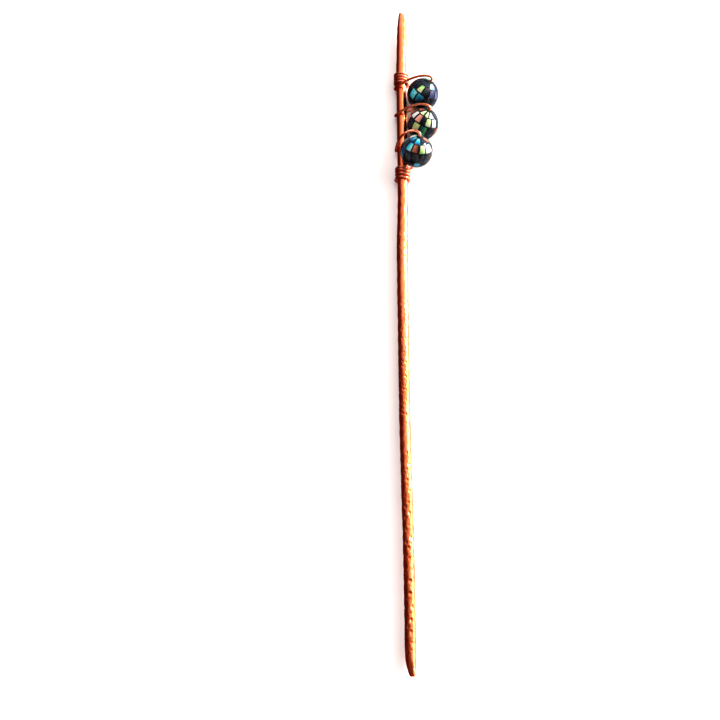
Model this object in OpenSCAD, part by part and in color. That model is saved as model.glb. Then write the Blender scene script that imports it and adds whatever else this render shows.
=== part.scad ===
// Hammered copper hair stick with three shell-mosaic beads held by one wrapped wire.
// The stick lies along Y with its long tip towards +Y, on the plane z = 0, and Z is up.
// The beads sit on its +X side. Each bead turns on the straight run of wire through its hole.

/* [Stick] */
// Overall length of the stick
stick_len = 205; // [195:1:215]
// Diameter of the hammered shank below the wire
shank_d = 3.32; // [3.28:0.02:3.6]
// Diameter of the smooth neck under the wire
neck_d = 3.26; // [3.26:0.02:3.3]
// Length of the taper at the upper tip
tip_taper = 21; // [15:1:25]
// Diameter of the upper tip's blunt end
tip_d = 1; // [0.6:0.1:1.4]
// Length of the taper at the lower end
tail_taper = 7.2; // [5:0.2:12]
// Diameter of the lower end's blunt face
tail_d = 1.4; // [0.8:0.1:2]

/* [Wire] */
// Diameter of the wire
wire_d = 0.81; // [0.76:0.01:0.84]
// Gap between the wire's inside and the neck
wire_gap = 0.02; // [0.01:0.01:0.04]
// Sides of the bent wire's section
wire_sides = 10; // [8:1:12]

/* [Beads] */
// Outer diameter of a bead
bead_d = 10; // [9.8:0.1:10]
// Diameter of the hole through a bead
hole_d = 0.96; // [0.92:0.01:0.98]
// Thickness of the clear coat
coat_t = 0.28; // [0.2:0.02:0.4]
// Thickness of a shell chip
chip_t = 0.45; // [0.3:0.05:0.6]
// Width of the black grout between chips
grout_w = 0.3; // [0.2:0.05:0.4]

/* [Hidden] */
BEADS = ["upper_bead", "middle_bead", "lower_bead"];
SHELLS = ["blue", "green", "silver", "rose", "dark"];

// Where the stick's axis lies, so that the whole object is centred over the origin
stick_x = -4.45;
wire_r = wire_d / 2;
wrap_r = neck_d / 2 + wire_gap + wire_r;
axis_z = wrap_r + wire_r;
tip_y = stick_len / 2;
tail_y = -stick_len / 2;
// The hammered shank ends a little below the lower coil, and a slight shoulder meets the neck
shank_top = 41.5;
shoulder = 1.2;

// Beads: centre from the stick's axis, then the hole's tilt from Z and its turn about Z
bead_r = bead_d / 2;
PLACES = [
    [[6.55, 71.5, bead_r - axis_z], 41, 44],
    [[6.35, 61.15, 2.64], 38, 54],
    [[4, 50.3, 5.6], 34, 74]
];
core_r = bead_r - coat_t - 0.02;
glue = 0.02;
// Straight wire beyond the hole's mouth at each end, and the bent wire's overlap into it
stub = 0.12;
lap = 0.3;

// Rows of chips, from the upper mouth of the hole: first and last angle from the hole's axis
ROWS = [[13, 38], [41, 70], [73, 107], [110, 139], [142, 167]];
// For each bead and row: the first chip's angle, each chip's shell (first letter), and each
// chip's width in steps of 10 degrees
CHIPS = [
    [
        [150, "dsddgd", "666666"],
        [165, "gdssdbdgdrdd", "333333333333"],
        [152, "bbddsdgdbddd", "333333333333"],
        [185, "dddgddsddrdd", "333333333333"],
        [170, "dgdsdb", "666666"]
    ], [
        [140, "ggsddddr", "43455555"],
        [122, "srdgsdbdgdsdr", "3323333233323"],
        [160, "ggdrdsdgdbdrd", "3333233233233"],
        [165, "dsddgdddbddd", "333333333333"],
        [150, "dgdsdr", "666666"]
    ], [
        [105, "bbdrdds", "5555556"],
        [134, "brgsdgdbddsd", "333433233333"],
        [140, "ddddrdsdbdgdb", "3323333233233"],
        [183, "bddgddsddrdd", "333333333333"],
        [160, "dbdgds", "666666"]
    ]
];
SHELL_COLOURS = ["#3fb0cf", "#a9d68c", "#dfe6ea", "#e2a394", "#2f4346"];

// ---- Route of the wire ----
function unit(v) = v / norm(v);
function hole_axis(i) = let (p = PLACES[i])
    [sin(p[1]) * cos(p[2]), sin(p[1]) * sin(p[2]), cos(p[1])];
// A point on the hole's axis, at a distance from the bead's centre
function on_hole(i, d) = PLACES[i][0] + d * hole_axis(i);
// A point of the wire where it lies on the neck: angle from +X towards +Z, and place along Y
function on_neck(a, y) = [wrap_r * cos(a), y, wrap_r * sin(a)];
// The wire's direction there. It goes round with the angle falling; slope is its rise in Y
function heading(a, slope) = unit([sin(a), slope, -cos(a)]);
function smooth(y0, y1, m0, m1, u) = (2 * u ^ 3 - 3 * u ^ 2 + 1) * y0
    + (u ^ 3 - 2 * u ^ 2 + u) * m0 + (3 * u ^ 2 - 2 * u ^ 3) * y1 + (u ^ 3 - u ^ 2) * m1;
// Wire laid on the neck from angle a0 down to a1, from y0 to y1, with the slopes at both ends
function wrap(a0, a1, y0, y1, s0, s1, n) = let (arc = (a0 - a1) * PI / 180 * wrap_r)
    [for (i = [0:n]) on_neck(a0 + (a1 - a0) * i / n, smooth(y0, y1, arc * s0, arc * s1, i / n))];
// A free bend between two points, leaving along d0 and arriving along d1
function bend(p0, d0, h0, p1, d1, h1, n) = [for (i = [1:n - 1]) let (u = i / n)
    (1 - u) ^ 3 * p0 + 3 * (1 - u) ^ 2 * u * (p0 + h0 * d0)
    + 3 * (1 - u) * u ^ 2 * (p1 - h1 * d1) + u ^ 3 * p1];
// From the neck up and over into the upper mouth of bead i, ending inside the straight run
function into_bead(a, y, slope, h0, i, h1) = concat(
    bend(on_neck(a, y), heading(a, slope), h0, on_hole(i, bead_r + stub), -hole_axis(i), h1, 22),
    [on_hole(i, bead_r + stub), on_hole(i, bead_r + stub - lap)]
);
// From the straight run, out of the lower mouth of bead i and down to the neck
function out_of_bead(i, h0, a, y, slope, h1) = concat(
    [on_hole(i, lap - bead_r - stub), on_hole(i, -bead_r - stub)],
    bend(on_hole(i, -bead_r - stub), -hole_axis(i), h0, on_neck(a, y), heading(a, slope), h1, 14)
);
turn_slope = 1 / (2 * PI * wrap_r);
RUNS = [
    // Upper coil, and the loop into the upper bead
    concat(
        wrap(240, -1170, 79.8, 75.95, -turn_slope, -turn_slope, 78),
        wrap(-1170, -1305, 75.95, 74.9, -turn_slope, 0.2, 12),
        into_bead(-1305, 74.9, 0.2, 8, 0, 2.8)
    ),
    // Under the neck, once round, and the loop into the middle bead
    concat(
        out_of_bead(0, 1, -90, 67.2, -0.5, 1.6),
        wrap(-90, -230, 67.2, 65.35, -0.5, 0.28, 14),
        into_bead(-230, 65.35, 0.28, 7.6, 1, 2.2)
    ),
    // Under the neck, once round, and the loop into the lower bead
    concat(
        out_of_bead(1, 0.9, -90, 56.3, -0.75, 1.6),
        wrap(-90, -190, 56.3, 53.6, -0.75, 0.8, 12),
        into_bead(-190, 53.6, 0.8, 7.8, 2, 2.7)
    ),
    // Lower coil and the cut end, which stands a little off the neck
    concat(
        out_of_bead(2, 1.2, -30, 47.3, -0.25, 1),
        wrap(-30, -1350, 47.3, 43.5, -0.05, -0.11, 74),
        wrap(-1350, -1588, 43.5, 43.25, -0.11, 0.08, 14),
        [for (d = [0.35, 0.75, 1.15]) on_neck(-1588, 43.25) + d * heading(-1588, 0.08)]
    )
];

// ---- Round tube along a route ----
function along(p, i) = unit(p[min(i + 1, len(p) - 1)] - p[max(i - 1, 0)]);
function square_to(v, t) = unit(v - (v * t) * t);
// One cross-section direction per point, each carried on from the last so that none twists
function carried(p) = [for (i = 0, v = square_to([0.2, 1, 0.4], along(p, 0)); i < len(p);
    i = i + 1, v = square_to(v, along(p, min(i, len(p) - 1)))) v];
function next_side(k) = (k + 1) % wire_sides;

module tube(p, r) {
    side = carried(p);
    last = (len(p) - 1) * wire_sides;
    points = [for (i = [0:len(p) - 1]) let (t = along(p, i), u = side[i], v = cross(t, u))
        for (k = [0:wire_sides - 1]) let (a = 360 * k / wire_sides)
            p[i] + r * (cos(a) * u + sin(a) * v)];
    walls = [for (i = [0:len(p) - 2]) for (k = [0:wire_sides - 1])
        let (a = i * wire_sides, b = a + wire_sides)
            [a + k, b + k, b + next_side(k), a + next_side(k)]];
    ends = [[for (k = [0:wire_sides - 1]) k], [for (k = [wire_sides - 1:-1:0]) last + k]];
    polyhedron(points, concat(ends, walls));
}

// Everything is drawn from the stick's axis and then put in its place
module placed() {
    translate([stick_x, 0, axis_z]) children();
}

module in_bead(i) {
    translate(PLACES[i][0]) rotate([0, PLACES[i][1], PLACES[i][2]]) children();
}

// ---- The stick ----
// Half-width of a taper that is n parts of the way from its blunt end to full width
function taper_r(end_r, full_r, n) = end_r + (full_r - end_r) * sin(90 * n);

module hammered_stick() {
    steps = 10;
    tip = [for (i = [0:steps]) let (n = i / steps)
        [taper_r(tip_d / 2, neck_d / 2, n), tip_y - tip_taper * n ^ 1.3]];
    tail = [for (i = [steps:-1:0]) let (n = i / steps)
        [taper_r(tail_d / 2, shank_d / 2, n), tail_y + tail_taper * n ^ 1.5]];
    outline = concat([[0, tip_y]], tip, [[neck_d / 2, shank_top + shoulder],
        [shank_d / 2, shank_top]], tail, [[0, tail_y]]);
    color("#c4704a") placed() rotate([-90, 0, 0])
        rotate_extrude($fn = 48) polygon(outline);
}

// ---- The wire ----
module wrap_wire() {
    color("#d9855a") placed() {
        for (run = RUNS) tube(run, wire_r * 0.985);
        for (i = [0:len(PLACES) - 1]) in_bead(i)
            cylinder(r = wire_r, h = 2 * (bead_r + stub), center = true, $fn = 32);
    }
}

// ---- The beads ----
function steps_before(widths, k) = k == 0 ? 0 : ord(widths[k - 1]) - 48 + steps_before(widths, k - 1);

// A piece of a hollow ball between two angles from the hole's axis and two angles round it
module sector(r0, r1, a0, a1, b0, b1) {
    far = 2 * r1;
    mid = (a0 + a1) / 2;
    rotate([0, 0, b0]) rotate_extrude(angle = b1 - b0, $fn = 48) intersection() {
        difference() {
            circle(r = r1, $fn = 48);
            circle(r = r0, $fn = 48);
        }
        polygon([[0, 0], far * [sin(a0), cos(a0)], far * [sin(mid), cos(mid)],
            far * [sin(a1), cos(a1)]]);
    }
}

// The chips of bead i whose letter is in the list, each one grown by a margin all round
module chips(i, letters, grow, r1) {
    for (row = [0:len(ROWS) - 1]) {
        start = CHIPS[i][row][0];
        shells = CHIPS[i][row][1];
        widths = CHIPS[i][row][2];
        mid = (ROWS[row][0] + ROWS[row][1]) / 2;
        inset = (grout_w / 2 - grow) / (core_r * sin(mid)) * 180 / PI;
        lift = grow / core_r * 180 / PI;
        for (k = [0:len(shells) - 1]) if (len(search(shells[k], letters)) > 0)
            sector(core_r - chip_t - grow, r1, ROWS[row][0] - lift, ROWS[row][1] + lift,
                start + 10 * steps_before(widths, k) + inset,
                start + 10 * steps_before(widths, k + 1) - inset);
    }
}

module bead_core(i) {
    color("#17191b") placed() in_bead(i) difference() {
        sphere(r = core_r, $fn = 64);
        cylinder(d = hole_d, h = 3 * bead_r, center = true, $fn = 32);
        chips(i, "bgsrd", glue, bead_r);
    }
}

module bead_chips(i, shell) {
    color(SHELL_COLOURS[shell]) placed() in_bead(i) chips(i, SHELLS[shell][0], 0, core_r);
}

module bead_coat(i) {
    color([0.85, 0.9, 0.9, 0.3]) placed() in_bead(i) difference() {
        sphere(r = bead_r, $fn = 64);
        sphere(r = core_r + 0.02, $fn = 64);
        cylinder(d = hole_d, h = 3 * bead_r, center = true, $fn = 32);
    }
}

hammered_stick();
wrap_wire();
for (i = [0:len(BEADS) - 1]) {
    bead_core(i);
    for (s = [0:len(SHELLS) - 1])
        bead_chips(i, s);
    bead_coat(i);
}
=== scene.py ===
"""Looks of the hammered copper hair stick with three shell-mosaic beads on one wrapped wire.

Lengths are in millimetres until a mesh is made, which turns them into metres. As in the CAD
model, everything is drawn from the stick's axis: +Y towards the long tip, the beads at +X.
"""
import math
import random

import bpy
import numpy as np
from mathutils import Matrix, Vector


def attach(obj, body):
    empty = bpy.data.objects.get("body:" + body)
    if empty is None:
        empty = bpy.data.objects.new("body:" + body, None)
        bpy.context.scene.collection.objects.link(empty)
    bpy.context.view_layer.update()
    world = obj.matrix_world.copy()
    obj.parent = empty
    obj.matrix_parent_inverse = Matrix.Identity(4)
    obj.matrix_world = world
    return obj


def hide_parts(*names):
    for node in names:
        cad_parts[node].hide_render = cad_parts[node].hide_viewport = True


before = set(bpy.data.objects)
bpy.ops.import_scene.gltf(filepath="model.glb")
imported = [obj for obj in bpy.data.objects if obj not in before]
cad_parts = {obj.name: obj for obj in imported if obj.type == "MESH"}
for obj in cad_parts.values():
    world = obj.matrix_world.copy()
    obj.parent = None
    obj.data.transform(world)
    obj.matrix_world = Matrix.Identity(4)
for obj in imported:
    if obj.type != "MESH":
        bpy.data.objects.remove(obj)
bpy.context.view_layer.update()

MM = 0.001

# ---- Dimensions shared with the CAD model ----
STICK_LEN, SHANK_D, NECK_D = 205, 3.32, 3.26
TIP_TAPER, TIP_D, TIP_POWER = 21, 1.0, 1.3
TAIL_TAPER, TAIL_D, TAIL_POWER = 7.2, 1.4, 1.5
SHANK_TOP, SHOULDER = 41.5, 1.2
WIRE_R, WIRE_GAP = 0.405, 0.02
WRAP_R = NECK_D / 2 + WIRE_GAP + WIRE_R
BEAD_R, HOLE_R = 5.0, 0.48
# How far the wire's straight run stands out of each mouth, and how far the bend laps over it
STUB, LAP = 0.12, 0.3
CHIP_T = 0.45
# The stick's axis in the shared frame
AXIS = Vector((-4.45, 0, WRAP_R + WIRE_R))
TIP_Y, TAIL_Y = STICK_LEN / 2, -STICK_LEN / 2

BEADS = ["upper_bead", "middle_bead", "lower_bead"]
# Centre from the stick's axis, then the hole's tilt from Z and its turn about Z, in degrees
PLACES = [
    (Vector((6.55, 71.5, BEAD_R - AXIS.z)), 41, 44),
    (Vector((6.35, 61.15, 2.64)), 38, 54),
    (Vector((4, 50.3, 5.6)), 34, 74),
]
SHELLS = {"b": "blue", "g": "green", "s": "silver", "r": "rose", "d": "dark"}
# Rows of chips, from the upper mouth of the hole: first and last angle from the hole's axis
ROWS = [(13, 38), (41, 70), (73, 107), (110, 139), (142, 167)]
# For each bead and row: the first chip's angle, then each chip's shell, its width in tens of
# degrees and its tone, from 0 for the deepest colour of its shell to 9 for the brightest
CHIPS = [
    [
        (150, "dsddgd", "666666", "234316"),
        (165, "gdssdbdgdrdd", "333333333333", "870063617342"),
        (152, "bbddsdgdbddd", "333333333333", "928506627241"),
        (185, "dddgddsddrdd", "333333333333", "215624378261"),
        (170, "dgdsdb", "666666", "354726"),
    ],
    [
        (140, "ggsddddr", "43455555", "98923152"),
        (122, "srdgsdbdgdsdr", "3323333233323", "9919725473823"),
        (160, "ggdrdsdgdbdrd", "3333233233233", "9241381625384"),
        (165, "dsddgdddbddd", "333333333333", "274163825241"),
        (150, "dgdsdr", "666666", "364725"),
    ],
    [
        (105, "bbdrdds", "5555556", "4722317"),
        (134, "brgsdgdbddsd", "333433233333", "938825351724"),
        (140, "ddddrdsdbdgdb", "3323333233233", "7968274638251"),
        (183, "bddgddsddrdd", "333333333333", "324625173826"),
        (160, "dbdgds", "666666", "362547"),
    ],
]


def rad(degrees):
    return math.radians(degrees)


# ---- Meshes ----
def make_piece(name, points, faces, material, body, node):
    """A smooth mesh from points in mm round the stick's axis, standing for one CAD node."""
    mesh = bpy.data.meshes.new(name)
    mesh.from_pydata([tuple((Vector(p) + AXIS) * MM) for p in points], [], faces)
    mesh.update()
    mesh.shade_smooth()
    piece = bpy.data.objects.new(name, mesh)
    bpy.context.scene.collection.objects.link(piece)
    mesh.materials.append(material)
    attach(piece, body)
    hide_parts(node)
    return piece


def add_values(piece, name, values):
    """One number for each point, which a material reads as an attribute."""
    layer = piece.data.attributes.new(name, "FLOAT", "POINT")
    layer.data.foreach_set("value", list(values))


def skin(rings, sides):
    """Quads between rings of points, and a face over each end."""
    faces = [
        (i * sides + k, i * sides + (k + 1) % sides,
         (i + 1) * sides + (k + 1) % sides, (i + 1) * sides + k)
        for i in range(rings - 1)
        for k in range(sides)
    ]
    last = (rings - 1) * sides
    faces.append(tuple(range(sides - 1, -1, -1)))
    faces.append(tuple(last + k for k in range(sides)))
    return faces


# ---- Node materials ----
class Look:
    """A material and a short way to add nodes to it."""

    def __init__(self, name):
        self.material = bpy.data.materials.new(name)
        self.material.use_nodes = True
        self.tree = self.material.node_tree
        self.tree.nodes.clear()

    def add(self, kind, settings=None, **inputs):
        """A shader node. Inputs go by name, or by number as i0, i1 and so on, and each takes a
        value or another node's output."""
        node = self.tree.nodes.new("ShaderNode" + kind)
        for name, value in (settings or {}).items():
            setattr(node, name, value)
        for name, value in inputs.items():
            socket = node.inputs[int(name[1:])] if name[0] == "i" and name[1:].isdigit() else None
            socket = socket or node.inputs[name.replace("_", " ")]
            if isinstance(value, bpy.types.NodeSocket):
                self.tree.links.new(value, socket)
            else:
                socket.default_value = value
        return node

    def out(self, shader):
        end = self.tree.nodes.new("ShaderNodeOutputMaterial")
        self.tree.links.new(shader, end.inputs["Surface"])
        return self.material

    def place(self, scale=(1, 1, 1)):
        """The point on the piece, stretched by scale, in millimetres."""
        where = self.add("TexCoord").outputs["Object"]
        size = tuple(s / MM for s in scale)
        return self.add("Mapping", {"vector_type": "POINT"}, Vector=where, Scale=size).outputs[0]

    def noise(self, where, scale, detail=3.0, rough=0.5, warp=0.0):
        return self.add(
            "TexNoise", None, Vector=where, Scale=scale, Detail=detail, Roughness=rough,
            Distortion=warp,
        ).outputs["Fac"]

    def attribute(self, name):
        return self.add("Attribute", {"attribute_name": name}).outputs["Fac"]

    def ramp(self, factor, stops):
        """Colours, or greys given as one number, at places from 0 to 1."""
        node = self.add("ValToRGB", None, Fac=factor)
        band = node.color_ramp.elements
        while len(band) < len(stops):
            band.new(0.5)
        for element, (at, colour) in zip(band, stops):
            element.position = at
            grey = isinstance(colour, (int, float))
            element.color = (colour,) * 3 + (1,) if grey else tuple(colour) + (1,)
        return node.outputs["Color"]

    def math(self, operation, a, b=0.0):
        return self.add("Math", {"operation": operation, "use_clamp": True}, i0=a, i1=b).outputs[0]

    def mix(self, factor, a, b, blend="MIX"):
        node = self.add("Mix", {"data_type": "RGBA", "blend_type": blend})
        for index, value in ((0, factor), (6, a), (7, b)):
            if isinstance(value, bpy.types.NodeSocket):
                self.tree.links.new(value, node.inputs[index])
            else:
                node.inputs[index].default_value = value if index == 0 else tuple(value) + (1,)
        return node.outputs[2]

    def bump(self, height, strength, depth):
        """Height from 0 to 1 as a relief of that depth in millimetres."""
        return self.add(
            "Bump", None, Height=height, Strength=strength, Distance=depth * MM
        ).outputs[0]


# ---- The hammered stick ----
RINGS, SIDES = 1025, 64
RING_GAP = STICK_LEN / (RINGS - 1)

# The lower taper is drawn between the CAD's curve and a straighter one
STRAIGHT_SHARE, STRAIGHT_POWER = 0.5, 0.9
# The lower taper sits to +X by this share of the radius it has lost, so that its left side
# looks filed down more than its right
TAIL_SET = 0.45
# The long tip leans to +X: how far, from which place on, over what length
TIP_LEAN, LEAN_FROM, LEAN_OVER = 0.4, 81, 14
# The shank bows to -X: how far, and the place and length of each end of the bow
BOW_DEPTH, BOW_TOP, BOW_IN, BOW_END, BOW_OUT = 0.56, 43, 28, -80, 55
# The long tip is wider than it is thick: by how much, from which place on, over what length
FLARE, FLARE_FROM, FLARE_OVER = 0.45, 84, 18.5
# Slow waves in the shank's thickness: height, length over 2 pi, shift along the stick
SWELLS = [(0.05, 27, 40), (0.012, 3.1, 0)]
# The shank is a little flat: how much, how much that varies, the length of that over 2 pi
OVAL, OVAL_VARIES, OVAL_WAVE = 0.035, 0.4, 11.0
# Below its top the shank takes up its swells over this length, so none lies under the wire
SHANK_FADE = 8
# Each end's cut: its slant, the length that leans with it, and how far from the middle the line
# that it turns about lies, to -X at the tip and to +X at the tail
TIP_CUT, TIP_CUT_OVER, TIP_CUT_X = 0.55, 4.5, 0.5
TAIL_CUT, TAIL_CUT_OVER, TAIL_CUT_X = 0.05, 3.0, 0.7
# The relief at which a dent's colour is full
DENT_FULL = 0.11

# Rounds of hammer blows: top, end, gap along the stick, rows round it, half-length and
# half-width of a mark, depth, slant in degrees
BLOWS = [
    # Broad shallow facets over the whole shank, left by the face of the hammer
    (SHANK_TOP - 2, TAIL_Y + 4, 3.6, 6, 2.1, 1.15, 0.085, 12),
    # Small sharp strokes, laid in bands
    (39.5, 24.0, 4.2, 7, 0.28, 0.66, 0.09, 32),
    (26.5, 17.5, 1.25, 7, 0.40, 0.50, 0.11, 20),
    (17.5, 2.0, 2.0, 7, 0.38, 0.50, 0.09, 25),
    (2.0, -31.0, 1.4, 8, 0.44, 0.54, 0.15, 15),
    (-31.0, -42.0, 2.6, 7, 0.40, 0.50, 0.09, 20),
    (-42.0, -56.0, 1.7, 7, 0.56, 0.62, 0.16, 10),
    (-56.0, TAIL_Y + 5.5, 3.2, 7, 0.85, 0.70, 0.18, 8),
    (-56.0, TAIL_Y + 6, 1.9, 7, 0.38, 0.46, 0.12, 30),
    # A few facets dress the long tip
    (TIP_Y - 2.2, TIP_Y - 20, 3.4, 4, 2.0, 0.8, 0.07, 6),
]
# The first row's angle, how far a blow misses its row, each row's shift as a share of the gap
FIRST_ROW, ROW_SHAKE, ROW_SHIFT = 75, 14, 0.37


def ease(n):
    """1 down to 0 smoothly, as n goes from 0 in the middle of a mark to 1 at its edge."""
    n = np.clip(n, 0, 1)
    return (1 - n * n) ** 2


def plain_radius(y):
    """The CAD outline: a sine taper at each end, the neck, and the shank a little thicker. Only
    the lower taper differs: it is straighter than the CAD's."""
    r = np.interp(y, [SHANK_TOP, SHANK_TOP + SHOULDER], [SHANK_D / 2, NECK_D / 2])
    tip = np.clip((TIP_Y - y) / TIP_TAPER, 0, 1) ** (1 / TIP_POWER)
    r = np.where(tip < 1, TIP_D / 2 + (NECK_D / 2 - TIP_D / 2) * np.sin(tip * math.pi / 2), r)
    even = np.clip((y - TAIL_Y) / TAIL_TAPER, 0, 1)
    tail = even ** (1 / TAIL_POWER)
    curved = np.sin(tail * math.pi / 2)
    straight = np.sin(even * math.pi / 2) ** STRAIGHT_POWER
    full = (1 - STRAIGHT_SHARE) * curved + STRAIGHT_SHARE * straight
    return np.where(tail < 1, TAIL_D / 2 + (SHANK_D / 2 - TAIL_D / 2) * full, r)


def hammer_marks():
    """Each mark: place along Y, angle from +X towards +Z, half-length along the stick,
    half-width round it in mm, slant, depth. Marks crowd together in bands along the shank."""
    rng = random.Random(7)
    marks = []
    for y_top, y_end, gap, rows, long, wide, deep, slant in BLOWS:
        for row in range(rows):
            y = y_top - gap * (row * ROW_SHIFT % 1)
            while y > y_end:
                angle = FIRST_ROW + 360 * row / rows + rng.uniform(-ROW_SHAKE, ROW_SHAKE)
                size = rng.uniform(0.8, 1.2)
                broad = wide * rng.uniform(0.8, 1.2)
                marks.append((y, angle, long * size, broad, slant, deep * size))
                y -= gap * rng.uniform(0.85, 1.15)
    return marks


def stick_relief(y, angle):
    """How far each point of the surface is knocked in from the plain outline. Where marks
    overlap, the deepest counts."""
    relief = np.zeros((RINGS, SIDES))
    for at, turn, long, wide, slant, deep in hammer_marks():
        # Only the rings that this mark can touch
        reach = max(long, wide) * 1.3
        first = max(0, int((at - reach - TAIL_Y) / RING_GAP))
        last = min(RINGS, int((at + reach - TAIL_Y) / RING_GAP) + 2)
        dy = y[first:last, None] - at
        r = plain_radius(y[first:last])[:, None]
        da = (angle[None, :] - rad(turn) + math.pi) % (2 * math.pi) - math.pi
        ds = da * r
        c, s = math.cos(rad(slant)), math.sin(rad(slant))
        n = np.sqrt(((dy * c - ds * s) / long) ** 2 + ((dy * s + ds * c) / wide) ** 2)
        scale = np.minimum(1, r / (SHANK_D / 2))
        relief[first:last] = np.maximum(relief[first:last], deep * scale * ease(n))
    return relief


def rise(n):
    """0 up to 1 smoothly, as n goes from 0 to 1."""
    n = np.clip(n, 0, 1)
    return n * n * (3 - 2 * n)


def bow(y):
    """The stick isn't quite straight: below the coils it bows to -X and comes back, and its long
    tip leans to +X."""
    lean = TIP_LEAN * rise((y - LEAN_FROM) / LEAN_OVER)
    return lean - BOW_DEPTH * rise((BOW_TOP - y) / BOW_IN) * rise((y - BOW_END) / BOW_OUT)


def make_stick(material):
    y = TAIL_Y + RING_GAP * np.arange(RINGS)
    angle = 2 * math.pi * np.arange(SIDES) / SIDES
    relief = stick_relief(y, -angle)
    # Slow swelling and flattening left by hand work, none of it under the wire
    shank = np.clip((SHANK_TOP - y) / SHANK_FADE, 0, 1)
    swell = sum(high * np.sin((y + shift) / wave) * shank for high, wave, shift in SWELLS)
    oval = OVAL * shank * (1 + OVAL_VARIES * np.sin(y / OVAL_WAVE))
    r = plain_radius(y)[:, None] + swell[:, None] + oval[:, None] * np.cos(2 * angle)[None, :]
    r = r - relief
    # Both ends are cut at a slant: the end rings lean over
    lean_tip = np.clip(1 - (TIP_Y - y) / TIP_CUT_OVER, 0, 1)[:, None] ** 2
    lean_tail = np.clip(1 - (y - TAIL_Y) / TAIL_CUT_OVER, 0, 1)[:, None] ** 2
    flare = 1 + FLARE * rise((y - FLARE_FROM) / FLARE_OVER)
    x = flare[:, None] * r * np.cos(-angle)[None, :]
    z = r * np.sin(-angle)[None, :]
    along = (y[:, None] - lean_tip * (TIP_CUT * (x + TIP_CUT_X))
             + lean_tail * (TAIL_CUT * (TAIL_CUT_X - x)))
    # The lower taper is filed mostly on its left side
    tail_set = TAIL_SET * np.where(y < 0, SHANK_D / 2 - plain_radius(y), 0)
    points = np.stack([x + (bow(y) + tail_set)[:, None], along, z], axis=2).reshape(-1, 3)
    piece = make_piece(
        "hammered_rod", points.tolist(), skin(RINGS, SIDES), material,
        "stick", "hammered_stick",
    )
    add_values(piece, "dent", np.clip(relief / DENT_FULL, 0, 1).reshape(-1))


def hammered_copper():
    look = Look("hammered_copper")
    here = look.place()
    streak = look.noise(look.place((1, 0.12, 1)), 1.4, 5.0, 0.6)
    cloud = look.noise(look.place((1, 0.35, 1)), 0.22, 3.0, 0.55)
    grime = look.noise(here, 2.6, 6.0, 0.65)
    dent = look.attribute("dent")
    metal = look.ramp(
        streak, [(0.3, (0.90, 0.22, 0.08)), (0.5, (0.95, 0.29, 0.13)), (0.72, (0.98, 0.38, 0.20))]
    )
    warm = look.ramp(cloud, [(0.42, 0.0), (0.7, 0.6)])
    metal = look.mix(warm, metal, (0.82, 0.18, 0.055))
    stain = look.math("MULTIPLY", look.ramp(grime, [(0.52, 0.0), (0.72, 1.0)]), 0.45)
    metal = look.mix(stain, metal, (0.42, 0.07, 0.02))
    # The metal turns darker and redder with the depth of each hammer dent.
    metal = look.mix(look.math("MULTIPLY", dent, 0.35), metal, (0.62, 0.11, 0.03))
    polish = look.ramp(grime, [(0.35, 0.13), (0.7, 0.27)])
    scratch = look.noise(look.place((9, 0.7, 9)), 1.0, 3.0, 0.7)
    shader = look.add(
        "BsdfPrincipled", None, Base_Color=metal, Metallic=1.0, Roughness=polish,
        Normal=look.bump(scratch, 0.35, 0.012),
    )
    return look.out(shader.outputs[0])


# ---- The wire ----
WIRE_SIDES = 20
# Steps of each free bend into and out of a bead, and degrees for each step round the neck
IN_STEPS, OUT_STEPS, NECK_STEP = 64, 40, 6
# The wire is drawn a hair thin, so that its unevenness stays within its gauge
WIRE_SEEN = 0.985 * WIRE_R
# Its unevenness: height as a share of the radius, and steps along the wire
WIRE_WAVES = [(0.006, 0.23), (0.004, 0.61)]
# A snipped end: two short rings, each so far past the end and so wide in its two directions
SNIP = [(0.10, 0.93, 0.90), (0.17, 0.80, 0.62)]

# Stops of the wire on the neck: angle, which runs on from turn to turn, place along the stick,
# and climb for each mm round the neck. One turn of the upper coil drops about 1 mm.
COIL_SLOPE = -1 / (2 * math.pi * WRAP_R)
UPPER_START, UPPER_TURN = (240, 79.8, COIL_SLOPE), (-1170, 75.95, COIL_SLOPE)
UPPER_LEAVE = (-1305, 74.9, 0.2)
FIRST_LAND, FIRST_LEAVE = (-90, 67.2, -0.5), (-230, 65.35, 0.28)
SECOND_LAND, SECOND_LEAVE = (-90, 56.3, -0.75), (-190, 53.6, 0.8)
LOWER_LAND, LOWER_START = (-30, 47.3, -0.25), (-30, 47.3, -0.05)
LOWER_TURN, LOWER_END = (-1350, 43.5, -0.11), (-1588, 43.25, 0.08)
# Points of the straight cut end, by their distance from the last stop
CUT_END = (0.35, 0.75, 1.15)


def hole_axis(i):
    """The way of bead i's hole, out of its upper mouth."""
    _, tilt, turn = PLACES[i]
    return Vector((math.sin(rad(tilt)) * math.cos(rad(turn)),
                   math.sin(rad(tilt)) * math.sin(rad(turn)),
                   math.cos(rad(tilt))))


def on_hole(i, distance):
    """A point on the line through bead i's hole, that far above the bead's centre."""
    return PLACES[i][0] + distance * hole_axis(i)


def on_neck(a, y):
    """A point on the wire's middle line where it lies on the neck, at angle a from +X."""
    return Vector((WRAP_R * math.cos(rad(a)), y, WRAP_R * math.sin(rad(a))))


def heading(a, slope):
    """The wire's direction on the neck, where it goes round with the angle falling."""
    return Vector((math.sin(rad(a)), slope, -math.cos(rad(a)))).normalized()


def cubic(y0, y1, m0, m1, u):
    """A smooth curve from y0 to y1 with slopes m0 and m1 at its ends, for u from 0 to 1."""
    return ((2 * u**3 - 3 * u**2 + 1) * y0 + (u**3 - 2 * u**2 + u) * m0
            + (3 * u**2 - 2 * u**3) * y1 + (u**3 - u**2) * m1)


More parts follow.
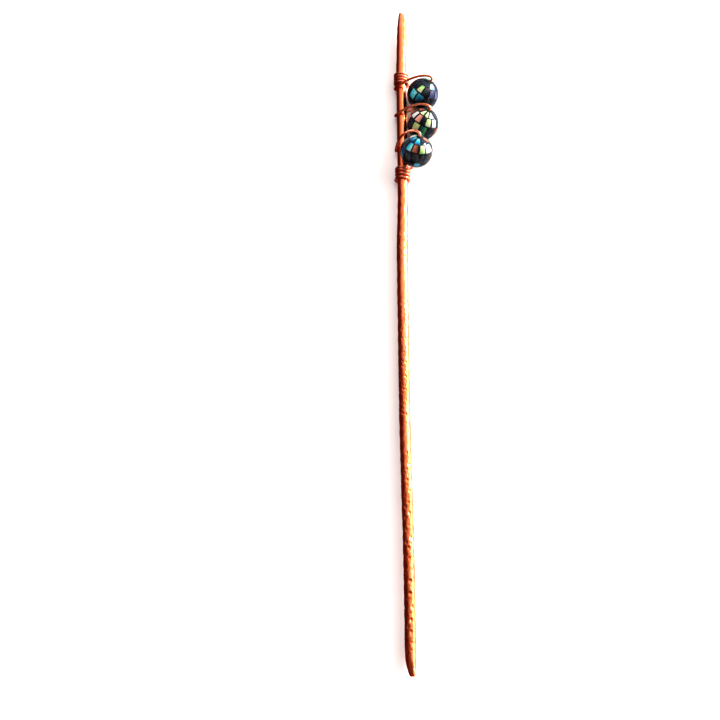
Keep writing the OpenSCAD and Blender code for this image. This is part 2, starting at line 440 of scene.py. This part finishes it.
def wrap(start, end):
    """Wire laid on the neck from one stop to a later one."""
    (a0, y0, s0), (a1, y1, s1) = start, end
    arc = rad(a0 - a1) * WRAP_R
    count = round((a0 - a1) / NECK_STEP)
    return [on_neck(a0 + (a1 - a0) * i / count, cubic(y0, y1, arc * s0, arc * s1, i / count))
            for i in range(count + 1)]


def bend(p0, d0, h0, p1, d1, h1, count):
    """A free bend between two points, leaving along d0 and arriving along d1. It holds to each
    direction the longer, the larger h0 and h1 are. The two points themselves are left out."""
    points = []
    for i in range(1, count):
        u = i / count
        points.append((1 - u) ** 3 * p0 + 3 * (1 - u) ** 2 * u * (p0 + h0 * d0)
                      + 3 * (1 - u) * u**2 * (p1 - h1 * d1) + u**3 * p1)
    return points


def into_bead(i, stop, h0, h1):
    """From a stop on the neck up and over into the upper mouth of bead i."""
    a, y, slope = stop
    mouth = on_hole(i, BEAD_R + STUB)
    return bend(on_neck(a, y), heading(a, slope), h0, mouth, -hole_axis(i), h1, IN_STEPS) + [
        mouth, on_hole(i, BEAD_R + STUB - LAP)]


def out_of_bead(i, stop, h0, h1):
    """Out of the lower mouth of bead i and down to a stop on the neck."""
    a, y, slope = stop
    mouth = on_hole(i, -BEAD_R - STUB)
    return [on_hole(i, LAP - BEAD_R - STUB), mouth] + bend(
        mouth, -hole_axis(i), h0, on_neck(a, y), heading(a, slope), h1, OUT_STEPS)


def wire_route():
    """The same route as the CAD wire: upper coil, the three loops, lower coil, cut end."""
    a, y, slope = LOWER_END
    return (
        wrap(UPPER_START, UPPER_TURN)
        + wrap(UPPER_TURN, UPPER_LEAVE)[1:]
        + into_bead(0, UPPER_LEAVE, h0=8, h1=2.8)
        + out_of_bead(0, FIRST_LAND, h0=1, h1=1.6)
        + wrap(FIRST_LAND, FIRST_LEAVE)
        + into_bead(1, FIRST_LEAVE, h0=7.6, h1=2.2)
        + out_of_bead(1, SECOND_LAND, h0=0.9, h1=1.6)
        + wrap(SECOND_LAND, SECOND_LEAVE)
        + into_bead(2, SECOND_LEAVE, h0=7.8, h1=2.7)
        + out_of_bead(2, LOWER_LAND, h0=1.2, h1=1)
        + wrap(LOWER_START, LOWER_TURN)
        + wrap(LOWER_TURN, LOWER_END)[1:]
        + [on_neck(a, y) + d * heading(a, slope) for d in CUT_END]
    )


def make_wire(material):
    """One round wire along the whole route, each end snipped to a slightly pinched face."""
    route = wire_route()
    count = len(route)
    ways = [
        (route[min(i + 1, count - 1)] - route[max(i - 1, 0)]).normalized() for i in range(count)]
    # Each ring's first point takes over its direction from the ring before, so nothing twists
    side = Vector((0.2, 1, 0.4))
    rings = []
    for i, (point, way) in enumerate(zip(route, ways)):
        side = (side - side.dot(way) * way).normalized()
        rings.append((point, way, side.copy(), way.cross(side)))
    first, last = rings[0], rings[-1]
    before = [(first[0] - d * first[1], *first[1:], a, b) for d, a, b in reversed(SNIP)]
    after = [(last[0] + d * last[1], *last[1:], a, b) for d, a, b in SNIP]
    rings = before + [ring + (1.0, 1.0) for ring in rings] + after
    rng = random.Random(3)
    phases = [rng.uniform(0, 2 * math.pi) for _ in WIRE_WAVES]
    points = []
    for i, (point, _, u, v, wide, thick) in enumerate(rings):
        wobble = 1 + sum(
            high * math.sin(i * step + phase) for (high, step), phase in zip(WIRE_WAVES, phases))
        r = WIRE_SEEN * wobble
        for k in range(WIRE_SIDES):
            a = 2 * math.pi * k / WIRE_SIDES
            points.append(point + r * (wide * math.cos(a) * u + thick * math.sin(a) * v))
    make_piece(
        "wrapped_wire", points, skin(len(rings), WIRE_SIDES), material,
        "stick", "wrap_wire",
    )


def copper_wire():
    look = Look("copper_wire")
    here = look.place()
    cloud = look.noise(here, 0.55, 4.0, 0.6)
    fine = look.noise(here, 5.0, 4.0, 0.6)
    metal = look.ramp(
        cloud, [(0.3, (0.90, 0.26, 0.13)), (0.5, (0.98, 0.40, 0.24)), (0.7, (1.0, 0.52, 0.36))]
    )
    stain = look.math("MULTIPLY", look.ramp(fine, [(0.5, 0.0), (0.75, 1.0)]), 0.4)
    metal = look.mix(stain, metal, (0.60, 0.12, 0.05))
    polish = look.ramp(fine, [(0.35, 0.16), (0.7, 0.30)])
    shader = look.add(
        "BsdfPrincipled", None, Base_Color=metal, Metallic=1.0, Roughness=polish,
        Normal=look.bump(fine, 0.25, 0.01),
    )
    return look.out(shader.outputs[0])


# ---- The beads ----
# A clear coat magnifies what lies under it, out to almost the bead's own edge, so the mosaic
# is drawn at the radius where it is seen
MOSAIC_R = 4.88
GROUT_R = 4.85
# The grout line between two chips at that radius, and how far a chip's corner strays
GROUT_SEEN, CORNER_SHAKE = 0.42, 0.09
# Places across a chip from edge to edge, closer together where its edge is rounded over, and
# how far its outer two rows of points drop there
EDGE, MIDDLE_STEPS = [0.0, 0.05, 0.14], 4
MIDDLE = [EDGE[-1] + (1 - 2 * EDGE[-1]) * k / MIDDLE_STEPS for k in range(1, MIDDLE_STEPS)]
ACROSS = EDGE + MIDDLE + [1 - place for place in reversed(EDGE)]
EDGE_DROP = {0: 0.045, 1: 0.014}


def bead_turn(i):
    """From a bead's own frame, with its hole along Z, to the frame round the stick's axis."""
    centre, tilt, turn = PLACES[i]
    return (Matrix.Translation(centre) @ Matrix.Rotation(rad(turn), 4, "Z")
            @ Matrix.Rotation(rad(tilt), 4, "Y"))


def polar(r, a, b):
    """A point at radius r, a radians from the hole's axis and b radians round it."""
    return Vector((r * math.sin(a) * math.cos(b), r * math.sin(a) * math.sin(b), r * math.cos(a)))


def turned(profile, sides):
    """Points and faces of a closed ring-shaped solid turned from an outline (radius, height)."""
    points = [Vector((r * math.cos(a), r * math.sin(a), z))
              for r, z in profile for a in (2 * math.pi * k / sides for k in range(sides))]
    count = len(profile)
    faces = [
        (i * sides + k, i * sides + (k + 1) % sides,
         (i + 1) % count * sides + (k + 1) % sides, (i + 1) % count * sides + k)
        for i in range(count) for k in range(sides)
    ]
    return points, faces


def ball_outline(r, hole_r, edge, steps):
    """Outline of a drilled ball from the lower mouth, over the outside, to the upper mouth,
    with the sharp edge of each mouth rounded."""
    start = math.asin((hole_r + edge) / r)
    curve = [(r * math.sin(a), -r * math.cos(a))
             for a in (start + (math.pi - 2 * start) * k / steps for k in range(steps + 1))]
    low = -r * math.cos(start)
    mouth = [
        (hole_r, low + edge * 1.3),
        (hole_r + edge * 0.12, low + edge * 0.6),
        (hole_r + edge * 0.45, low + edge * 0.16),
    ]
    return mouth + curve + [(a, -b) for a, b in reversed(mouth)]


def make_core(i, material):
    """The black ball that shows as grout between the chips."""
    points, faces = turned(ball_outline(GROUT_R, HOLE_R, edge=0.14, steps=60), sides=80)
    turn = bead_turn(i)
    make_piece(
        BEADS[i] + "_grout_ball", [turn @ p for p in points], faces, material,
        BEADS[i], BEADS[i] + "_core",
    )


def make_coat(i, material):
    """The clear shell round the mosaic. Its inner wall lies just inside the black ball's face."""
    outer = ball_outline(BEAD_R, HOLE_R, edge=0.22, steps=72)
    inner = ball_outline(GROUT_R - 0.04, HOLE_R + 0.01, edge=0.04, steps=48)
    points, faces = turned(outer + [(r, -z) for r, z in inner], sides=96)
    turn = bead_turn(i)
    make_piece(
        BEADS[i] + "_clear_coat", [turn @ p for p in points], faces, material,
        BEADS[i], BEADS[i] + "_coat",
    )


def chip(rng, a0, a1, b0, b1):
    """One chip between two angles from the hole's axis and two round it, in degrees: points,
    faces and, for each point, its place across the chip. Its corners are uneven and its upper
    edge is rounded over."""
    half = GROUT_SEEN / 2 / MOSAIC_R
    shake = CORNER_SHAKE / MOSAIC_R
    corner = {}
    for side, a in enumerate((rad(a0), rad(a1))):
        # As an angle round the hole the gap grows towards the hole, so it is held down there
        inset = half / max(math.sin(a), 0.25)
        for end, b in enumerate((rad(b0) + inset, rad(b1) - inset)):
            corner[side, end] = (a + rng.uniform(-shake, shake),
                                 b + rng.uniform(-1, 1) * shake / math.sin(a))
    points, where = [], []
    size = len(ACROSS)
    for i, u in enumerate(ACROSS):
        for j, v in enumerate(ACROSS):
            weights = (
                (0, 0, (1 - u) * (1 - v)), (0, 1, (1 - u) * v), (1, 0, u * (1 - v)), (1, 1, u * v))
            a = sum(w * corner[s, e][0] for s, e, w in weights)
            b = sum(w * corner[s, e][1] for s, e, w in weights)
            edge = min(i, j, size - 1 - i, size - 1 - j)
            points.append(polar(MOSAIC_R - EDGE_DROP.get(edge, 0.0), a, b))
            where.append((u, v))
    faces = [(i * size + j, i * size + j + 1, (i + 1) * size + j + 1, (i + 1) * size + j)
             for i in range(size - 1) for j in range(size - 1)]
    # The chip's rim, once round, and under it the same rim at the chip's lower face
    ring = ([(0, j) for j in range(size)] + [(i, size - 1) for i in range(1, size)]
            + [(size - 1, j) for j in range(size - 2, -1, -1)]
            + [(i, 0) for i in range(size - 2, 0, -1)])
    top = [i * size + j for i, j in ring]
    start = len(points)
    for k in top:
        points.append(points[k].normalized() * (MOSAIC_R - CHIP_T))
        where.append(where[k])
    count = len(top)
    for k in range(count):
        faces.append((top[k], start + k, start + (k + 1) % count, top[(k + 1) % count]))
    faces.append(tuple(start + k for k in reversed(range(count))))
    return points, [f[::-1] for f in faces], where


def make_chips(i, letter, material):
    """All chips of one shell on bead i. Each chip has its own tone, and its own direction in
    which its colour leans from one side to the other."""
    rng = random.Random(100 * i + ord(letter))
    turn = bead_turn(i)
    points, faces, lean, tone = [], [], [], []
    for (a0, a1), (start, shells, widths, tones) in zip(ROWS, CHIPS[i]):
        b = start
        for shell, width, level in zip(shells, widths, tones):
            step = 10 * int(width)
            if shell == letter:
                new_points, new_faces, where = chip(rng, a0, a1, b, b + step)
                base = len(points)
                points += [turn @ p for p in new_points]
                faces += [tuple(base + k for k in f) for f in new_faces]
                way = rng.uniform(0, 2 * math.pi)
                lean += [
                    0.5 + (u - 0.5) * math.cos(way) + (v - 0.5) * math.sin(way) for u, v in where]
                tone += [int(level) / 9] * len(where)
            b += step
    shell = SHELLS[letter]
    node = f"{BEADS[i]}_{shell}_chips"
    piece = make_piece(
        f"{BEADS[i]}_{shell}_mosaic", points, faces, material, BEADS[i], node
    )
    add_values(piece, "lean", lean)
    add_values(piece, "tone", tone)


def shell_look(name, sway, colours):
    """Polished shell. Its colours run from the deepest to the brightest: a chip's tone picks the
    main one, and the colour sways from one side of the chip to the other and with the grain."""
    look = Look(name)
    where = look.place()
    grain = look.noise(where, 0.9, 4.0, 0.6, 0.8)
    fine = look.noise(where, 4.5, 3.0, 0.6, 0.5)
    side = look.math("MULTIPLY", look.attribute("lean"), sway)
    flow = look.math("ADD", look.math("MULTIPLY", look.attribute("tone"), 1.0 - sway), side)
    flow = look.math("ADD", flow, look.math("MULTIPLY", look.math("SUBTRACT", grain, 0.34), 0.55))
    flow = look.math("SUBTRACT", flow, 0.08)
    step = 1 / (len(colours) - 1)
    colour = look.ramp(flow, [(k * step, c) for k, c in enumerate(colours)])
    shade = look.ramp(fine, [(0.3, 0.72), (0.6, 1.0)])
    colour = look.mix(1.0, colour, shade, "MULTIPLY")
    shader = look.add(
        "BsdfPrincipled", None, Base_Color=colour, Metallic=0.0, Specular_IOR_Level=0.1,
        Roughness=look.ramp(grain, [(0.3, 0.25), (0.7, 0.4)]),
        Normal=look.bump(fine, 0.15, 0.01),
    )
    return look.out(shader.outputs[0])


def black_resin():
    look = Look("black_resin")
    speck = look.noise(look.place(), 3.0, 4.0, 0.6)
    colour = look.ramp(speck, [(0.4, (0.003, 0.004, 0.007)), (0.75, (0.010, 0.013, 0.020))])
    shader = look.add(
        "BsdfPrincipled", None, Base_Color=colour, Specular_IOR_Level=0.1,
        Roughness=look.ramp(speck, [(0.3, 0.28), (0.7, 0.45)]),
        Normal=look.bump(speck, 0.2, 0.02),
    )
    return look.out(shader.outputs[0])


def clear_resin():
    """Thin clear coat: see-through, with the gloss of polished resin and a faint waviness."""
    look = Look("clear_resin")
    wave = look.noise(look.place(), 0.35, 2.0, 0.5)
    polish = look.ramp(wave, [(0.3, 0.015), (0.7, 0.045)])
    shape = look.bump(wave, 0.15, 0.015)
    gloss = look.add(
        "BsdfGlossy", None, Color=(0.72, 0.74, 0.78, 1), Roughness=polish, Normal=shape)
    clear = look.add("BsdfTransparent", None, Color=(1, 1, 1, 1))
    mirror = look.add("Fresnel", None, IOR=1.28, Normal=shape)
    shader = look.add(
        "MixShader", None, Fac=mirror.outputs[0], i1=clear.outputs[0], i2=gloss.outputs[0])
    return look.out(shader.outputs[0])


# For each shell: how much its colour sways across a chip, and its colours from the deepest
SHELL_LOOKS = {
    "b": (0.55, [(0.004, 0.015, 0.08), (0.01, 0.08, 0.24), (0.03, 0.46, 0.74), (0.12, 0.92, 1.0),
                 (0.60, 1.0, 1.0)]),
    "g": (0.40, [(0.006, 0.06, 0.07), (0.015, 0.26, 0.22), (0.22, 0.74, 0.28), (0.80, 1.0, 0.46),
                 (0.90, 1.0, 0.88)]),
    "s": (0.25, [(0.04, 0.05, 0.09), (0.16, 0.18, 0.40), (0.42, 0.84, 0.72), (0.94, 0.98, 0.98),
                 (1.0, 1.0, 1.0)]),
    "r": (0.45, [(0.05, 0.03, 0.02), (0.22, 0.09, 0.055), (0.66, 0.22, 0.16), (1.0, 0.46, 0.34),
                 (1.0, 0.75, 0.74)]),
    "d": (0.50, [(0.002, 0.004, 0.012), (0.005, 0.012, 0.036), (0.014, 0.034, 0.062),
                 (0.060, 0.078, 0.092), (0.17, 0.18, 0.19)]),
}

# ---- All the pieces ----
make_stick(hammered_copper())
make_wire(copper_wire())
resin, coat = black_resin(), clear_resin()
shell_materials = {
    letter: shell_look(SHELLS[letter] + "_shell", *look) for letter, look in SHELL_LOOKS.items()
}
for bead in range(len(BEADS)):
    make_core(bead, resin)
    make_coat(bead, coat)
    for letter in SHELLS:
        make_chips(bead, letter, shell_materials[letter])


# ---- Floor, light and camera, in metres ----
FLOOR_HALF = 12


def make_floor():
    """A pale sheet, far wider than any view of the stick."""
    look = Look("pale_floor")
    paper = look.noise(look.place(), 0.05, 3.0, 0.5)
    colour = look.ramp(paper, [(0.3, (0.86, 0.86, 0.87)), (0.7, (0.88, 0.88, 0.88))])
    shader = look.add("BsdfPrincipled", None, Base_Color=colour, Roughness=0.7)
    mesh = bpy.data.meshes.new("floor")
    signs = ((-1, -1), (1, -1), (1, 1), (-1, 1))
    corners = [(a * FLOOR_HALF, b * FLOOR_HALF, 0) for a, b in signs]
    mesh.from_pydata(corners, [], [(0, 1, 2, 3)])
    mesh.materials.append(look.out(shader.outputs[0]))
    floor = bpy.data.objects.new("floor", mesh)
    bpy.context.scene.collection.objects.link(floor)


def add_light(name, place, target, size, radiance, mirrored=True):
    """A rectangular soft light of that radiance, facing its target, all in metres. One that
    isn't mirrored lights surfaces but shows in no reflection."""
    lamp = bpy.data.lights.new(name, "AREA")
    lamp.shape = "RECTANGLE"
    lamp.size, lamp.size_y = size
    lamp.energy = radiance * math.pi * size[0] * size[1]
    light = bpy.data.objects.new(name, lamp)
    light.location = place
    light.rotation_euler = (Vector(target) - Vector(place)).to_track_quat("-Z", "Y").to_euler()
    light.visible_glossy = mirrored
    bpy.context.scene.collection.objects.link(light)


# Parts of the room that glow: direction, where the glow starts and is full as the cosine of the
# angle from it, and radiance. A bright pane, the window round it, the window's halo, the paler
# stretch of room beyond the tip, and a pale backdrop all round, low above the horizon.
GLOWS = [
    ((0.80, 0.40, 0.46), 0.984, 0.991, 54),
    ((0.86, 0.26, 0.38), 0.85, 0.90, 4.2),
    ((0.78, 0.50, 0.38), 0.42, 0.76, 1.3),
    ((0.0, 0.58, 0.81), 0.52, 1.0, 0.85),
    ((0.0, 0.0, -1.0), -0.28, -0.08, 0.95),
]
GLOW_COLOUR = (1.0, 0.985, 0.975)
ROOM_COLOUR = (0.24, 0.12, 0.085)


def make_world():
    """A dim warm room with a bright window at the right and a pale backdrop."""
    world = bpy.data.worlds.new("studio")
    world.use_nodes = True
    tree = world.node_tree
    tree.nodes.clear()
    way = tree.nodes.new("ShaderNodeTexCoord").outputs["Generated"]
    room = tree.nodes.new("ShaderNodeBackground")
    room.inputs["Color"].default_value = ROOM_COLOUR + (1,)
    light = room.outputs[0]
    for direction, start, full, radiance in GLOWS:
        dot = tree.nodes.new("ShaderNodeVectorMath")
        dot.operation = "DOT_PRODUCT"
        dot.inputs[1].default_value = Vector(direction).normalized()
        tree.links.new(way, dot.inputs[0])
        edge = tree.nodes.new("ShaderNodeMapRange")
        edge.interpolation_type = "SMOOTHSTEP"
        edge.inputs["From Min"].default_value = start
        edge.inputs["From Max"].default_value = full
        edge.inputs["To Min"].default_value = 0
        edge.inputs["To Max"].default_value = radiance
        tree.links.new(dot.outputs["Value"], edge.inputs["Value"])
        glow = tree.nodes.new("ShaderNodeBackground")
        glow.inputs["Color"].default_value = GLOW_COLOUR + (1,)
        tree.links.new(edge.outputs["Result"], glow.inputs["Strength"])
        both = tree.nodes.new("ShaderNodeAddShader")
        tree.links.new(light, both.inputs[0])
        tree.links.new(glow.outputs[0], both.inputs[1])
        light = both.outputs[0]
    end = tree.nodes.new("ShaderNodeOutputWorld")
    tree.links.new(light, end.inputs["Surface"])
    bpy.context.scene.world = world


# The dark card's near and far edge across the stick, its height, and its half-length along the
# stick. Its foot stands just clear of the floor.
CARD_NEAR, CARD_FAR, CARD_TALL, CARD_HALF, CARD_FOOT = -0.0050, -0.0125, 0.0075, 0.115, 0.00002


def make_dark_card():
    """A dark warm card, bent to an L, that stands along the stick's left side. Only reflections
    see it, as they would the block of wood that keeps the light off that side."""
    look = Look("dark_card")
    grain = look.noise(look.place((1, 0.1, 1)), 0.4, 3.0, 0.6)
    colour = look.ramp(grain, [(0.3, (0.06, 0.008, 0.004)), (0.7, (0.18, 0.03, 0.012))])
    # Painted shade: the card glows this dim warm colour, which the stick reflects as dark wood in
    # shade.
    shader = look.add("Emission", None, Color=colour, Strength=1.0)
    mesh = bpy.data.meshes.new("dark_card")
    outline = ((CARD_NEAR, CARD_FOOT), (CARD_FAR, CARD_FOOT), (CARD_FAR, CARD_TALL))
    mesh.from_pydata(
        [(x, y, z) for y in (-CARD_HALF, CARD_HALF) for x, z in outline],
        [], [(0, 1, 4, 3), (1, 2, 5, 4)])
    mesh.materials.append(look.out(shader.outputs[0]))
    card = bpy.data.objects.new("dark_card", mesh)
    card.visible_camera = False
    card.visible_diffuse = False
    card.visible_shadow = False
    card.visible_transmission = False
    bpy.context.scene.collection.objects.link(card)


# The camera looks down on the stick, tilted towards its long tip and turned a hair about Z
CAMERA_PLACE = (AXIS.x * MM - 0.01372, -0.07686, 0.25377)
CAMERA_TILT, CAMERA_TURN = 14, -0.178
LENS, SENSOR = 43.95, 36


def make_camera():
    camera = bpy.data.cameras.new("camera")
    camera.sensor_width = SENSOR
    camera.lens = LENS
    camera.clip_start = 0.01
    view = bpy.data.objects.new("camera", camera)
    view.location = CAMERA_PLACE
    view.rotation_euler = (rad(CAMERA_TILT), 0, rad(CAMERA_TURN))
    bpy.context.scene.collection.objects.link(view)
    bpy.context.scene.camera = view


make_floor()
make_world()
make_dark_card()
add_light("ceiling", place=(-0.12, 0.2, 0.75), target=(0, 0, 0), size=(0.6, 0.6), radiance=2.6,
          mirrored=False)
add_light("catch_light", place=(0.28, -0.2, 0.11), target=(0, 0.06, 0), size=(0.014, 0.014),
          radiance=140.0)
make_camera()
# The display darkens the mid tones, for more contrast, and lifts the whole a little
display = bpy.context.scene.view_settings
display.view_transform = "Standard"
display.gamma = 0.82
display.exposure = 0.1
